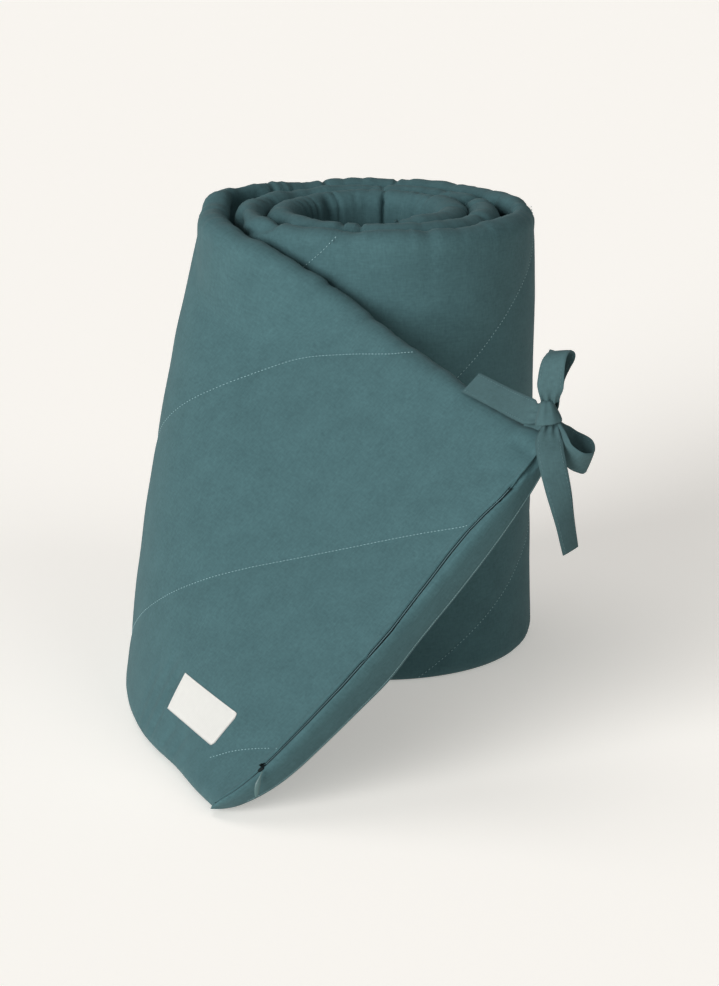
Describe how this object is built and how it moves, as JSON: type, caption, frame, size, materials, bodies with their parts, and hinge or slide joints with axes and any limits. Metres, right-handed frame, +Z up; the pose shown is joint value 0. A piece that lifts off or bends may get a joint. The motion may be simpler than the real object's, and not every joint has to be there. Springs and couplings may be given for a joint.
{
  "type": "crib bumper",
  "caption": "Padded cotton cot bumper, rolled up and stood on its long edge, with its free end leaning out and ribbon ties in a bow.",
  "frame": {"origin": "centre of the bounding box at the floor", "axes": "+Z up along the roll, the flap leans out towards -Y, and the tied corner is on the +X side"},
  "size_m": [0.2898, 0.4556, 0.3],
  "materials": {
    "teal_cotton": "matt woven cotton over wadding, quilted",
    "ribbon_cotton": "matt woven cotton tape with sewn edges",
    "zip_nylon": "dark dyed nylon coil",
    "puller_enamel": "smooth light teal enamel",
    "label_weave": "white woven satin, bare"
  },
  "bodies": {
    "root": {"padded_band": "teal_cotton", "zip_coil": "zip_nylon", "zip_slider": "puller_enamel", "zip_puller": "puller_enamel", "woven_label": "label_weave", "tie_upper": "ribbon_cotton", "tie_hanging_tail": "ribbon_cotton", "tie_right_loop": "ribbon_cotton", "bow_knot": "ribbon_cotton"}
  },
  "joints": []
}
